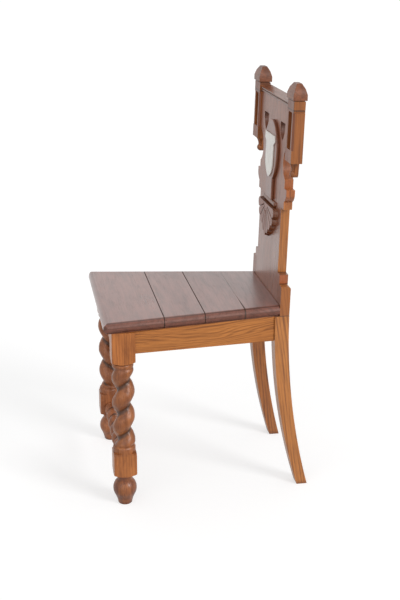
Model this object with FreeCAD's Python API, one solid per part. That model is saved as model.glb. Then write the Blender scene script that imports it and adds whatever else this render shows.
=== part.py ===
import FreeCAD, Part
import math
import os
from FreeCAD import Placement, Rotation, Vector

# A hall chair in oak: a solid seat of four boards on a rail frame, spiral-turned front legs and
# front stretcher, sabre back legs, and a shaped plank back between two short posts.
# Millimetres. +Z is up, the chair faces -Y, and +X is the sitter's left.

# Seat
seat_height = 450.0
seat_thickness = 25.0
seat_depth = 394.0
seat_front_width = 378.0
seat_back_width = 260.0
arris_ahead = 29.0
edge_reach = 15.0
edge_nose_drop = 12.0
edge_under_reach = 8.0
edge_under_ease = 1.5
edge_fillet = 2.0
seat_corner_radius = 12.0
front_board_depth = 137.0
board_depth = 94.0
board_gap = 1.0
rear_board_gap = 0.3
tongue_thickness = 6.0
tongue_depth = 8.0
tongue_inset = 34.0
seat_back_clearance = 0.8

# Front legs
leg_span = 345.0
leg_square = 52.0
upper_block_bottom = 350.0
bead_radius = 24.0
bead_height = 9.0
bead_round = 1.2
groove_height = 3.0
groove_radius = 20.0
collar_radius = 26.0
collar_top = 148.0
collar_round = 3.0
lower_block_top = 133.0
shoulder_height = 6.0
shoulder_hollow = 3.0
lower_block_bottom = 75.0
block_chamfer = 6.0
foot_neck_radius = 17.5
foot_neck_height = 61.0
bulb_radius = 27.0
bulb_height = 42.5
bulb_foot_radius = 23.3
bulb_foot_height = 24.0
ankle_radius = 19.0
ankle_height = 14.0
foot_radius = 16.0
foot_round = 2.0

# Spiral of the front legs
twist_radius = 25.5
twist_groove_radius = 13.5
twist_end_radius = 22.0
twist_pitch = 60.0
twist_fade = 13.0
twist_groove_level = 252.0
quarter_turn_share = 0.25
twist_sink = 4.0

# Front stretcher
stretcher_height = 98.0
stretcher_radius = 16.5
stretcher_groove_radius = 9.5
stretcher_end_radius = 12.0
stretcher_pitch = 42.0
stretcher_fade = 12.0
stretcher_collar_radius = 15.5
stretcher_collar_length = 9.0
stretcher_tenon_radius = 9.0
stretcher_tenon_length = 20.0

# Rails
rail_thickness = 22.0
rail_front_height = 50.0
rail_back_height = 60.0
rail_setback = 4.0
tenon_thickness = 8.0
tenon_length = 20.0
tenon_shoulder = 8.0
back_tenon_length = 11.0
back_rail_setback = 8.0

# Back legs
back_leg_ahead = 11.0
back_leg_depth = 33.0
back_leg_width = 35.0
back_leg_outer = 143.0
back_leg_bend = 400.0
back_foot_sweep = 61.0
back_foot_depth = 25.0
back_foot_width = 30.0
back_foot_outer = 155.0
stub_height = 45.0
stub_depth = 22.5
stub_sink = 15.0
stub_round = 6.0

# Plank back, heights measured up the plank from the seat's top
back_lean_degrees = 1.6
plank_thickness = 20.0
plank_top = 449.0
base_block_width = 244.0
base_block_top = 68.0
waist_width = 204.0
flare_bottom = 219.0
flare_width = 242.0
flare_start = 237.0
flare_sag = 4.0
ear_width = 275.0
ear_bottom = 254.0
ear_top = 267.0
shoulder_width = 238.0
notch_radius = 38.0
notch_height = 322.0
pierce_across = 77.0
pierce_top = 407.0
pierce_bottom = 367.0
pierce_width = 42.0
pierce_bulge = 3.0

# Posts, caps and drops
post_inner = 133.6
post_width = 51.0
post_ahead = 6.8
post_depth = 25.8
post_rise = 21.0
post_length = 135.0
post_chamfer = 4.0
post_groove = 2.0
slot_width = 28.0
slot_fall = 27.0
slot_length = 80.0
slot_depth = 8.0
slot_corner = 3.0
scribe_fall = 21.5
scribe_pitch = 4.2
scribe_width = 2.0
scribe_depth = 1.5
cap_overhang = 2.6
cap_band = 12.0
cap_shoulder = 12.0
cap_shoulder_inset = 4.0
cap_height = 34.5
cap_top_inset = 10.0
cap_top_inset_across = 15.0
cap_spigot_radius = 6.0
cap_spigot_length = 14.0
drop_top_radius = 11.4
drop_top_round = 2.5
drop_neck_radius = 5.8
drop_ball_radius = 8.8
drop_ball_fall = 25.6
drop_setback = 2.0
drop_slab_depth = 8.5
drop_slab_foot = 18.0
drop_spigot_radius = 4.0
drop_spigot_length = 10.0

# Crest rail
crest_height = 15.0
crest_fall = 5.0
crest_ahead = 4.0
crest_nose = 2.5
crest_quirk = 2.0
crest_bead = 6.5
crest_bead_proud = 3.0

# Planted ornament on the plank
cartouche_height = 332.0
cartouche_half_width = 57.5
cartouche_half_height = 70.0
cartouche_thickness = 7.0
stem_width = 56.0
stem_bottom = 221.0
shield_top = 370.0
shield_width = 88.0
shield_ear = 15.0
shield_notch = 7.0
shield_waist = 66.0
shield_turn = 306.0
shield_tip = 270.0
shield_bulge = 7.0
shield_thickness = 2.7
roll_height = 214.0
roll_radius = 7.0
roll_sink = 1.0
roll_length = 114.0
leaf_top = 206.8
leaf_half_width = 75.0
leaf_fall = 80.0
leaf_thickness = 11.0
leaf_bevel_share = 0.05
leaf_shares = ((0.99, 0.04), (0.87, 0.29), (0.85, 0.51), (0.64, 0.49), (0.54, 0.72),
               (0.34, 0.67), (0.28, 0.89), (0.11, 0.86), (0.07, 0.97), (0.0, 1.0))
leaf_top_share = 0.78
vein_start_share = 0.25
vein_width = 2.4
vein_depth = 4.0

# Hidden fastenings
dowel_radius = 4.0
dowel_length = 30.0
stub_dowel_heights = (5.0, 30.0)
post_dowel_shares = (0.28, 0.79)
rail_dowel_spread = 70.0
crest_dowel_spread = 80.0
cleat_size = 20.0
cleat_front_gap = 4.0
cleat_back_gap = 12.0
front_cleat_width = 250.0
screw_radius = 2.0
screw_head_radius = 4.0
screw_head_height = 2.6
screw_length = 34.0
screw_point = 4.0
screw_slot_width = 1.0
screw_slot_depth = 1.1
rail_screw_shares = (0.2, 0.5, 0.8)
front_screw_shares = (-0.38, 0.0, 0.38)
fit = 0.1

# Worked out from the lengths above
back_face = seat_depth - arris_ahead
back_leg_front = back_face - back_leg_ahead
back_foot_front = back_leg_front + back_foot_sweep
foot_rear = back_foot_front + back_foot_depth
front_axis_y = (arris_ahead + edge_reach - foot_rear) / 2
leg_x = leg_span / 2
leg_half = leg_square / 2
frame_top = seat_height - seat_thickness
back_y = front_axis_y + back_face
arris_y = front_axis_y - arris_ahead
seat_end_y = back_y - seat_back_clearance
back_leg_y = front_axis_y + back_leg_front
leg_back_y = front_axis_y + leg_half
post_mid = post_inner + post_width / 2
post_middle = post_depth / 2 - post_ahead
post_top = plank_top + post_rise
post_bottom = post_top - post_length
slot_top = post_top - slot_fall
drop_y = post_middle + drop_setback
reach = seat_front_width + foot_rear
back_placement = Placement(Vector(0, back_y, seat_height), Rotation(Vector(1, 0, 0), -back_lean_degrees))
ACROSS = Vector(1, 0, 0)
ALONG = Vector(0, 1, 0)
UP = Vector(0, 0, 1)
ORIGIN = Vector(0, 0, 0)


def box(x_low, x_high, y_low, y_high, z_low, z_high):
    return Part.makeBox(x_high - x_low, y_high - y_low, z_high - z_low, Vector(x_low, y_low, z_low))


def trace(start, *steps):
    """Edges of an outline: a step is (end,) for a line and (middle, end) for an arc."""
    edges = []
    here = start
    for step in steps:
        if len(step) == 1:
            edges.append(Part.makeLine(here, step[0]))
        else:
            edges.append(Part.Arc(here, step[0], step[1]).toShape())
        here = step[-1]
    return edges


def filled(edges):
    return Part.Face(Part.Wire(Part.__sortEdges__(edges)))


def mirrored(shape):
    return shape.mirror(ORIGIN, ACROSS)


def both_halves(edges):
    """A face from the right half of an outline that starts and ends on the middle line."""
    return filled(edges + [mirrored(edge) for edge in edges])


def joined(shapes):
    return shapes[0].multiFuse(shapes[1:]).removeSplitter()


def cut_from(shape, tools):
    return shape.cut(Part.makeCompound(tools))


def on_back(shape):
    """Moves a shape from the plank's own frame, face at y = 0, to the leaning back."""
    placed = shape.copy()
    placed.Placement = back_placement.multiply(placed.Placement)
    return placed


def turned(edges):
    """Revolves an outline of (radius, 0, height) points that closes on the axis."""
    return filled(edges).revolve(ORIGIN, UP, 360)


def section(x_mid, y, z_low, z_high, half):
    corners = [Vector(x_mid - half, y, z_low), Vector(x_mid + half, y, z_low),
               Vector(x_mid + half, y, z_high), Vector(x_mid - half, y, z_high)]
    return Part.makePolygon(corners + corners[:1])


def spiral(radius, groove, end_radius, pitch, length, fade, groove_turn):
    """A single-start right-hand spiral rod on +Z: one round strand with a narrow groove.

    The groove fades out at both ends, where the rod is round. groove_turn is the groove's angle
    at the bottom, in turns.
    """
    rows_per_turn = 16
    columns = 24
    softness = 0.16
    rows = round(rows_per_turn * length / pitch)
    arch_top = math.sqrt(1 + softness ** 2) - softness
    grid = []
    for column in range(columns + 1):
        angle = 2 * math.pi * column / columns
        line = []
        for row in range(rows + 1):
            height = length * row / rows
            share = min(1.0, min(height, length - height) / fade)
            swell = share * share * (3 - 2 * share)
            phase = angle - 2 * math.pi * (groove_turn + height / pitch)
            arch = (math.sqrt(math.sin(phase / 2) ** 2 + softness ** 2) - softness) / arch_top
            crest = end_radius + (radius - end_radius) * swell
            here = crest - (radius - groove) * swell * (1 - arch)
            line.append(Vector(here * math.cos(angle), here * math.sin(angle), height))
        grid.append(line)
    surface = Part.BSplineSurface()
    surface.interpolate(grid)
    for row in range(1, surface.NbVPoles + 1):
        surface.setPole(surface.NbUPoles, row, surface.getPole(1, row))
    side = surface.toShape()
    ends = [edge for edge in side.Edges if edge.isClosed()]
    shell = Part.Shell([side] + [Part.Face(Part.Wire([edge])) for edge in ends])
    shell.sewShape()
    rod = Part.Solid(shell)
    if rod.Volume < 0:
        rod.reverse()
    return rod


def rail_x(y):
    """Middle of the left side rail at y: it runs in towards the back with the seat."""
    front = leg_x + leg_half - rail_setback - rail_thickness / 2
    back = back_leg_outer - rail_setback - rail_thickness / 2
    return front + (back - front) * (y - leg_back_y) / (back_leg_y - leg_back_y)


def side_tenon(y_low, y_high, height, spare):
    low = frame_top - height + tenon_shoulder - spare
    high = frame_top - tenon_shoulder + spare
    half = tenon_thickness / 2 + spare
    return Part.makeLoft([section(rail_x(y_low), y_low, low, high, half),
                          section(rail_x(y_high), y_high, low, high, half)], True, True)


def side_rail_tenons(spare):
    ahead = side_tenon(leg_back_y - tenon_length - spare, leg_back_y + tenon_length,
                       rail_front_height, spare)
    behind = side_tenon(back_leg_y - tenon_length, back_leg_y + back_tenon_length + spare,
                        rail_back_height, spare)
    return [ahead, behind]


def make_side_rail():
    half = rail_thickness / 2
    body = Part.makeLoft([
        section(rail_x(leg_back_y), leg_back_y, frame_top - rail_front_height, frame_top, half),
        section(rail_x(back_leg_y), back_leg_y, frame_top - rail_back_height, frame_top, half),
    ], True, True)
    return joined([body] + side_rail_tenons(0))


def front_rail_tenon(spare):
    inner = leg_x - leg_half
    mid = front_axis_y - leg_half + rail_setback + rail_thickness / 2
    half = tenon_thickness / 2 + spare
    low = frame_top - rail_front_height + tenon_shoulder - spare
    high = frame_top - tenon_shoulder + spare
    return box(inner - tenon_length, inner + tenon_length + spare, mid - half, mid + half, low, high)


def make_front_rail():
    inner = leg_x - leg_half
    face = front_axis_y - leg_half + rail_setback
    body = box(-inner, inner, face, face + rail_thickness, frame_top - rail_front_height, frame_top)
    tenon = front_rail_tenon(0)
    return joined([body, tenon, mirrored(tenon)])


def back_rail_tenon(spare):
    inner = back_leg_outer - back_leg_width
    mid = back_leg_y + back_rail_setback + rail_thickness / 2
    half = tenon_thickness / 2 + spare
    low = frame_top - rail_back_height + tenon_shoulder - spare
    high = frame_top - tenon_shoulder + spare
    return box(inner - tenon_length, inner + tenon_length + spare, mid - half, mid + half, low, high)


def make_back_rail():
    inner = back_leg_outer - back_leg_width
    face = back_leg_y + back_rail_setback
    body = box(-inner, inner, face, face + rail_thickness, frame_top - rail_back_height, frame_top)
    tenon = back_rail_tenon(0)
    return cut_from(joined([body, tenon, mirrored(tenon)]), rail_dowels(fit))


def make_leg_turnings():
    """Bead under the upper block, collar over the lower one, and the bulb foot."""
    groove_top = upper_block_bottom
    bead_top = groove_top - groove_height
    bead_bottom = bead_top - bead_height
    bead_edge = bead_radius - bead_round
    neck = turned(trace(
        Vector(0, 0, groove_top + groove_height),
        (Vector(groove_radius, 0, groove_top + groove_height),),
        (Vector(groove_radius, 0, bead_top),),
        (Vector(bead_edge, 0, bead_top),),
        (Vector(bead_radius, 0, (bead_top + bead_bottom) / 2), Vector(bead_edge, 0, bead_bottom)),
        (Vector(0, 0, bead_bottom),),
        (Vector(0, 0, groove_top + groove_height),)))
    collar = turned(trace(
        Vector(0, 0, collar_top),
        (Vector(collar_radius - collar_round, 0, collar_top),),
        (Vector(collar_radius - collar_round / 4, 0, collar_top - collar_round),
         Vector(collar_radius, 0, collar_top - 2 * collar_round)),
        (Vector(collar_radius, 0, lower_block_top),),
        (Vector(0, 0, lower_block_top),),
        (Vector(0, 0, collar_top),)))
    foot = turned(trace(
        Vector(0, 0, lower_block_bottom + block_chamfer),
        (Vector(foot_neck_radius, 0, lower_block_bottom + block_chamfer),),
        (Vector(foot_neck_radius, 0, foot_neck_height),),
        (Vector(bulb_radius, 0, bulb_height), Vector(bulb_foot_radius, 0, bulb_foot_height)),
        (Vector(ankle_radius, 0, ankle_height), Vector(foot_radius, 0, foot_round)),
        (Vector(foot_radius - foot_round, 0, 0),),
        (ORIGIN,),
        (Vector(0, 0, lower_block_bottom + block_chamfer),)))
    return [neck, collar, foot]


def make_lower_block():
    """Square block with its corners turned away at the top and the bottom."""
    corner = math.hypot(leg_half, leg_half)
    square = box(-leg_half, leg_half, -leg_half, leg_half, lower_block_bottom, lower_block_top)
    round_over = turned(trace(
        Vector(0, 0, lower_block_top),
        (Vector(collar_radius, 0, lower_block_top),),
        (Vector(corner - shoulder_hollow, 0, lower_block_top - shoulder_height / 3),
         Vector(corner, 0, lower_block_top - shoulder_height)),
        (Vector(corner, 0, lower_block_bottom + block_chamfer),),
        (Vector(collar_radius, 0, lower_block_bottom),),
        (Vector(0, 0, lower_block_bottom),),
        (Vector(0, 0, lower_block_top),)))
    return square.common(round_over)


def make_upper_block():
    """Square block under the seat, its lower corners turned away."""
    corner = math.hypot(leg_half, leg_half)
    square = box(-leg_half, leg_half, -leg_half, leg_half, upper_block_bottom, frame_top)
    round_over = turned(trace(
        Vector(0, 0, frame_top),
        (Vector(corner, 0, frame_top),),
        (Vector(corner, 0, upper_block_bottom + block_chamfer),),
        (Vector(collar_radius, 0, upper_block_bottom),),
        (Vector(0, 0, upper_block_bottom),),
        (Vector(0, 0, frame_top),)))
    return square.common(round_over)


def make_front_leg():
    """The left front leg, with its mortises."""
    twist_low = collar_top - twist_sink
    bead_bottom = upper_block_bottom - groove_height - bead_height
    twist_length = bead_bottom + twist_sink - twist_low
    groove_turn = (twist_low - twist_groove_level) / twist_pitch + quarter_turn_share
    twist = spiral(twist_radius, twist_groove_radius, twist_end_radius, twist_pitch, twist_length,
                   twist_fade, groove_turn)
    twist.translate(Vector(0, 0, twist_low))
    leg = joined([make_upper_block(), twist, make_lower_block()] + make_leg_turnings())
    leg.translate(Vector(leg_x, front_axis_y, 0))
    return cut_from(leg, [front_rail_tenon(fit), side_rail_tenons(fit)[0], stretcher_tenon(fit)])


def stretcher_tenon(spare):
    start = Vector(leg_x - leg_half - stretcher_tenon_length, front_axis_y, stretcher_height)
    length = 2 * stretcher_tenon_length + spare
    return Part.makeCylinder(stretcher_tenon_radius + spare, length, start, ACROSS)


def make_stretcher():
    half = leg_x - leg_half
    inner = half - stretcher_collar_length
    length = 2 * inner + 2 * twist_sink
    rod = spiral(stretcher_radius, stretcher_groove_radius, stretcher_end_radius, stretcher_pitch, length,
                 stretcher_fade, 0)
    rod.translate(Vector(0, 0, -length / 2))
    edge = stretcher_collar_radius - stretcher_collar_length / 4
    collar = turned(trace(
        Vector(0, 0, inner),
        (Vector(edge, 0, inner),),
        (Vector(stretcher_collar_radius, 0, (inner + half) / 2), Vector(edge, 0, half)),
        (Vector(0, 0, half),),
        (Vector(0, 0, inner),)))
    tenon = Part.makeCylinder(stretcher_tenon_radius, 2 * stretcher_tenon_length,
                              Vector(0, 0, half - stretcher_tenon_length))
    ends = [collar, tenon]
    ends += [piece.mirror(ORIGIN, UP) for piece in ends]
    stretcher = joined([rod] + ends)
    stretcher.rotate(ORIGIN, ALONG, 90)
    stretcher.translate(Vector(0, front_axis_y, stretcher_height))
    return stretcher


def sabre_edge(y_top, y_foot):
    """Edge of a sabre leg: straight under the seat, then one arc that leaves it smoothly."""
    sweep = y_foot - y_top
    radius = (back_leg_bend * back_leg_bend + sweep * sweep) / (2 * sweep)
    turn = math.asin(back_leg_bend / radius) / 2
    middle = Vector(0, y_top + radius * (1 - math.cos(turn)), back_leg_bend - radius * math.sin(turn))
    return (Vector(0, y_top, back_leg_bend), middle, Vector(0, y_foot, 0))


def make_back_leg():
    """The left back leg: sabre below, and a stub beside the plank above the seat."""
    front_bend, front_middle, front_foot = sabre_edge(back_leg_y, front_axis_y + back_foot_front)
    rear_bend, rear_middle, rear_foot = sabre_edge(back_leg_y + back_leg_depth, front_axis_y + foot_rear)
    side = filled(trace(
        Vector(0, back_leg_y, frame_top),
        (front_bend,), (front_middle, front_foot), (rear_foot,), (rear_middle, rear_bend),
        (Vector(0, back_leg_y + back_leg_depth, frame_top),),
        (Vector(0, back_leg_y, frame_top),))).extrude(Vector(reach, 0, 0))
    inner = back_leg_outer - back_leg_width
    splay_top = frame_top - rail_back_height
    front = filled(trace(
        Vector(inner, -reach, frame_top),
        (Vector(back_leg_outer, -reach, frame_top),),
        (Vector(back_leg_outer, -reach, splay_top),),
        (Vector(back_foot_outer, -reach, 0),),
        (Vector(back_foot_outer - back_foot_width, -reach, 0),),
        (Vector(inner, -reach, splay_top),),
        (Vector(inner, -reach, frame_top),))).extrude(Vector(0, 2 * reach, 0))
    stub = filled(trace(
        Vector(inner, 0, -seat_thickness - stub_sink),
        (Vector(inner, 0, stub_height),),
        (Vector(inner, stub_depth - stub_round, stub_height),),
        (Vector(inner, stub_depth - stub_round + stub_round * math.sin(math.pi / 4),
                stub_height - stub_round + stub_round * math.cos(math.pi / 4)),
         Vector(inner, stub_depth, stub_height - stub_round)),
        (Vector(inner, stub_depth, -seat_thickness - stub_sink),),
        (Vector(inner, 0, -seat_thickness - stub_sink),))).extrude(Vector(back_leg_width, 0, 0))
    leg = joined([side.common(front), on_back(stub)])
    dowels = [on_back(dowel) for dowel in stub_dowels(fit)]
    return cut_from(leg, [back_rail_tenon(fit), side_rail_tenons(fit)[1]] + dowels)


def edge_prism(corner, outward, length):
    """Everything inside one moulded edge of the seat: ovolo, nose and fillet."""
    run = UP.cross(outward)
    nose = seat_height - edge_nose_drop
    eighth = math.pi / 4

    def at(out, level):
        return corner + outward * out + UP * level - run * (length / 2)

    edges = trace(
        at(-reach, frame_top),
        (at(edge_under_reach, frame_top),),
        (at(edge_under_reach, frame_top + edge_fillet),),
        (at(edge_reach - edge_under_ease, nose - (nose - frame_top) / 2), at(edge_reach, nose)),
        (at(edge_reach * math.cos(eighth), nose + edge_nose_drop * math.sin(eighth)),
         at(0, seat_height)),
        (at(-reach, seat_height),),
        (at(-reach, frame_top),))
    return filled(edges).extrude(run * length)


def seat_half_width(y):
    front = seat_front_width / 2
    back = seat_back_width / 2
    return front + (back - front) * (y - arris_y) / (back_y - arris_y)


def make_seat_blank():
    """The whole moulded seat before it is divided into boards."""
    run = Vector(seat_half_width(back_y) - seat_half_width(arris_y), back_y - arris_y, 0).normalize()
    outward = run.cross(UP)
    side = edge_prism(Vector(seat_half_width(arris_y), arris_y, 0), outward, 2 * reach)
    front = edge_prism(Vector(0, arris_y, 0), Vector(0, -1, 0), 2 * reach)
    blank = front.common(side).common(mirrored(side))
    flat = box(-reach, reach, arris_y - reach, seat_end_y, frame_top, seat_height)
    corner = seat_half_width(arris_y - edge_reach) + edge_reach / outward.x
    plan = filled(trace(
        Vector(corner, arris_y - edge_reach, frame_top),
        (Vector(corner + run.x / run.y * reach, arris_y - edge_reach + reach, frame_top),),
        (Vector(-corner - run.x / run.y * reach, arris_y - edge_reach + reach, frame_top),),
        (Vector(-corner, arris_y - edge_reach, frame_top),),
        (Vector(corner, arris_y - edge_reach, frame_top),))).extrude(Vector(0, 0, seat_thickness))
    upright = [edge for edge in plan.Edges if abs(edge.tangentAt(edge.FirstParameter).z) > 0.5]
    front_edges = [edge for edge in upright if edge.CenterOfMass.y < front_axis_y]
    return blank.common(flat).common(plan.makeFillet(seat_corner_radius, front_edges))


def board_joints():
    first = arris_y - edge_reach + front_board_depth
    return [first, first + board_depth, first + 2 * board_depth]


def make_tongue(y, spare):
    half = seat_half_width(y) - tongue_inset + spare
    middle = seat_height - seat_thickness / 2
    thick = tongue_thickness / 2 + spare
    deep = tongue_depth + spare
    return box(-half, half, y - deep, y + deep, middle - thick, middle + thick)


def make_seat_boards():
    blank = make_seat_blank()
    joints = board_joints()
    gaps = [board_gap, board_gap, rear_board_gap]
    starts = [arris_y - reach] + [y + gap / 2 for y, gap in zip(joints, gaps)]
    stops = [y - gap / 2 for y, gap in zip(joints, gaps)] + [back_y + reach]
    grooves = [make_tongue(y, fit) for y in joints]
    boards = []
    for low, high in zip(starts, stops):
        slab = box(-reach, reach, low, high, frame_top, seat_height)
        boards.append(cut_from(blank.common(slab), grooves + seat_screws(fit)))
    return boards


def plank_outline():
    """Right half of the plank, from the middle of its foot round to the middle of its top."""
    foot = back_leg_outer - back_leg_width - fit
    base = base_block_width / 2
    waist = waist_width / 2
    flare = flare_width / 2
    ear = ear_width / 2
    shoulder = shoulder_width / 2
    notch_rise = math.sqrt(notch_radius ** 2 - (post_inner - shoulder) ** 2)

    def at(across, height):
        return Vector(across, 0, height)

    return trace(
        at(0, -seat_thickness - stub_sink),
        (at(foot, -seat_thickness - stub_sink),),
        (at(foot, stub_height),),
        (at(base, stub_height),),
        (at(base, base_block_top),),
        (at(waist, base_block_top),),
        (at(waist, flare_bottom),),
        (at(flare, flare_bottom),),
        (at(flare, flare_start),),
        (at((flare + ear) / 2 + flare_sag / 2, (flare_start + ear_bottom) / 2 - flare_sag / 2),
         at(ear, ear_bottom)),
        (at(ear, ear_top),),
        (at(shoulder, ear_top),),
        (at(shoulder, notch_height - notch_rise),),
        (at(post_inner - notch_radius, notch_height), at(post_inner, notch_height + notch_radius)),
        (at(post_inner, plank_top),),
        (at(0, plank_top),))


def make_piercing():
    """A small heater-shaped opening, flat on top and pointed below."""
    half = pierce_width / 2
    mid = (pierce_top + pierce_bottom) / 2

    def at(across, height):
        return Vector(pierce_across + across, -plank_thickness, height)

    return filled(trace(
        at(-half, pierce_top),
        (at(half, pierce_top),),
        (at(half / 2 + 2 * pierce_bulge, mid - pierce_bulge), at(0, pierce_bottom)),
        (at(-half / 2 - 2 * pierce_bulge, mid - pierce_bulge), at(-half, pierce_top)),
    )).extrude(Vector(0, 3 * plank_thickness, 0))


def make_plank():
    plank = both_halves(plank_outline()).extrude(Vector(0, plank_thickness, 0))
    hole = make_piercing()
    tools = [hole, mirrored(hole)] + back_dowels(fit)
    below = box(-reach, reach, -reach, reach, 0, frame_top)
    return on_back(cut_from(plank, tools)).cut(below)


def make_crest():
    """Capping between the posts: weathered top, nosing, quirk and bead."""
    top = plank_top + crest_height
    front = top - crest_fall
    quirk = front - crest_nose

    def at(back, height):
        return Vector(-post_inner + fit, back, height)

    strip = filled(trace(
        at(0, plank_top),
        (at(plank_thickness, plank_top),),
        (at(plank_thickness, top),),
        (at(-crest_ahead, front),),
        (at(-crest_ahead, quirk),),
        (at(0, quirk - crest_quirk),),
        (at(-crest_bead_proud, quirk - crest_quirk - crest_bead / 2 + crest_quirk / 2),
         at(0, plank_top)),
    )).extrude(Vector(2 * (post_inner - fit), 0, 0))
    return on_back(cut_from(strip, crest_dowels(fit)))


def post_ring(half_x, half_y, height):
    """Level rectangle round the left post's axis."""
    corners = [Vector(post_mid - half_x, post_middle - half_y, height),
               Vector(post_mid + half_x, post_middle - half_y, height),
               Vector(post_mid + half_x, post_middle + half_y, height),
               Vector(post_mid - half_x, post_middle + half_y, height)]
    return Part.makePolygon(corners + corners[:1])


def post_chamfers():
    """Stopped chamfers on both front corners of the left post, as long as its slot."""
    near = -post_ahead
    wedges = []
    for corner, inward in ((post_inner, post_chamfer), (post_inner + post_width, -post_chamfer)):
        wedge = filled(trace(
            Vector(corner, near, slot_top),
            (Vector(corner + inward, near, slot_top),),
            (Vector(corner, near + post_chamfer, slot_top),),
            (Vector(corner, near, slot_top),)))
        wedges.append(wedge.extrude(Vector(0, 0, -slot_length)))
    return wedges


def make_post():
    """The left post: square shaft with a sunk slot, stopped chamfers and a groove under the cap."""
    near = -post_ahead
    far = post_depth - post_ahead
    outer = post_inner + post_width
    shaft = box(post_inner, outer, near, far, post_bottom, post_top)
    slot = box(post_mid - slot_width / 2, post_mid + slot_width / 2, near, near + slot_depth,
               slot_top - slot_length, slot_top)
    slot = slot.makeFillet(slot_corner, [edge for edge in slot.Edges
                                         if abs(edge.tangentAt(edge.FirstParameter).y) > 0.5])
    scribes = [box(outer - scribe_depth, outer + scribe_depth, near - scribe_depth, far + scribe_depth,
                   height - scribe_width / 2, height + scribe_width / 2)
               for height in (post_top - scribe_fall, post_top - scribe_fall - scribe_pitch)]
    neck = box(post_inner + post_groove, outer - post_groove, near + post_groove, far - post_groove,
               post_top - post_groove, post_top)
    ring = box(post_inner, outer, near, far, post_top - post_groove, post_top).cut(neck)
    tools = [slot, ring] + scribes + post_chamfers() + post_dowels(fit) + [cap_spigot(fit), drop_spigot(fit)]
    return on_back(cut_from(shaft, tools))


def cap_spigot(spare):
    start = Vector(post_mid, post_middle, post_top - cap_spigot_length - spare)
    return Part.makeCylinder(cap_spigot_radius + spare, cap_spigot_length + cap_band + spare, start)


def drop_spigot(spare):
    start = Vector(post_mid, drop_y, post_bottom - drop_ball_fall)
    return Part.makeCylinder(drop_spigot_radius + spare, drop_ball_fall + drop_spigot_length + spare, start)


def make_cap():
    """Bevelled cap on a post: an upright band, two slopes and a flat top."""
    half_x = post_width / 2 + cap_overhang
    half_y = post_depth / 2 + cap_overhang
    shoulder_top = post_top + cap_band + cap_shoulder
    rings = [post_ring(half_x, half_y, post_top),
             post_ring(half_x, half_y, post_top + cap_band),
             post_ring(half_x - cap_shoulder_inset, half_y - cap_shoulder_inset, shoulder_top),
             post_ring(half_x - cap_top_inset_across, half_y - cap_top_inset, post_top + cap_height)]
    body = Part.makeLoft(rings, True, True)
    return on_back(joined([body, cap_spigot(0)]))


def make_drop():
    """Turned pendant under a post, planted on a flat slab that closes it behind."""
    neck = drop_ball_fall - math.sqrt(drop_ball_radius ** 2 - drop_neck_radius ** 2)
    tip = drop_ball_fall + drop_ball_radius
    hollow = (drop_top_round + neck) / 2
    pendant = turned(trace(
        ORIGIN,
        (Vector(drop_top_radius, 0, 0),),
        (Vector(drop_top_radius, 0, -drop_top_round),),
        (Vector(drop_neck_radius + drop_top_round / 2, 0, -hollow), Vector(drop_neck_radius, 0, -neck)),
        (Vector(drop_ball_radius, 0, -drop_ball_fall), Vector(0, 0, -tip)),
        (ORIGIN,)))
    pendant.translate(Vector(post_mid, drop_y, post_bottom))
    foot = drop_slab_foot / 2
    slab = filled(trace(
        Vector(post_mid - drop_top_radius, drop_y, post_bottom),
        (Vector(post_mid + drop_top_radius, drop_y, post_bottom),),
        (Vector(post_mid + foot, drop_y, post_bottom - drop_ball_fall),),
        (Vector(post_mid, drop_y, post_bottom - tip),
         Vector(post_mid - foot, drop_y, post_bottom - drop_ball_fall)),
        (Vector(post_mid - drop_top_radius, drop_y, post_bottom),),
    )).extrude(Vector(0, drop_slab_depth, 0))
    return on_back(joined([pendant, slab, drop_spigot(0)]))


def make_cartouche():
    """Oval board on a stem, planted on the plank."""
    ellipse = Part.Ellipse(Vector(0, 0, cartouche_height + cartouche_half_height),
                           Vector(cartouche_half_width, 0, cartouche_height), Vector(0, 0, cartouche_height))
    oval = Part.Face(Part.Wire([ellipse.toShape()])).extrude(Vector(0, -cartouche_thickness, 0))
    stem = box(-stem_width / 2, stem_width / 2, -cartouche_thickness, 0, stem_bottom, cartouche_height)
    return on_back(joined([oval, stem]))


def make_shield():
    """Eared shield, left bare."""
    half = shield_width / 2
    waist = shield_waist / 2
    ear = shield_top - shield_ear

    def at(across, height):
        return Vector(across, -cartouche_thickness, height)

    turn_mid = at(waist / 2 + shield_bulge, (shield_turn + shield_tip) / 2 - shield_bulge / 2)
    face = both_halves(trace(
        at(0, shield_top),
        (at(half, shield_top),),
        (at(half, ear),),
        (at(waist, ear - shield_notch),),
        (at(waist, shield_turn),),
        (turn_mid, at(0, shield_tip))))
    return on_back(face.extrude(Vector(0, -shield_thickness, 0)))


def make_roll():
    """Half-round collar between the stem and the leaf, with rounded ends."""
    half = roll_length / 2 - roll_radius
    bar = Part.makeCylinder(roll_radius, 2 * half, Vector(-half, roll_sink, roll_height), ACROSS)
    balls = [Part.makeSphere(roll_radius, Vector(side * half, roll_sink, roll_height)) for side in (-1, 1)]
    front = box(-roll_length, roll_length, -2 * roll_radius, 0,
                roll_height - roll_length, roll_height + roll_length)
    return on_back(joined([bar] + balls).common(front))


def leaf_ring(size_share, forward):
    """Lobed outline of the leaf, made smaller by a share towards the middle of its top."""
    def at(share):
        return Vector(share[0] * size_share * leaf_half_width, -forward,
                      leaf_top - share[1] * size_share * leaf_fall)

    arcs = [(at(middle), at(end)) for middle, end in zip(leaf_shares[0::2], leaf_shares[1::2])]
    return both_halves(trace(at((0, 0)), (at((leaf_top_share, 0)),), *arcs)).OuterWire


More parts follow.
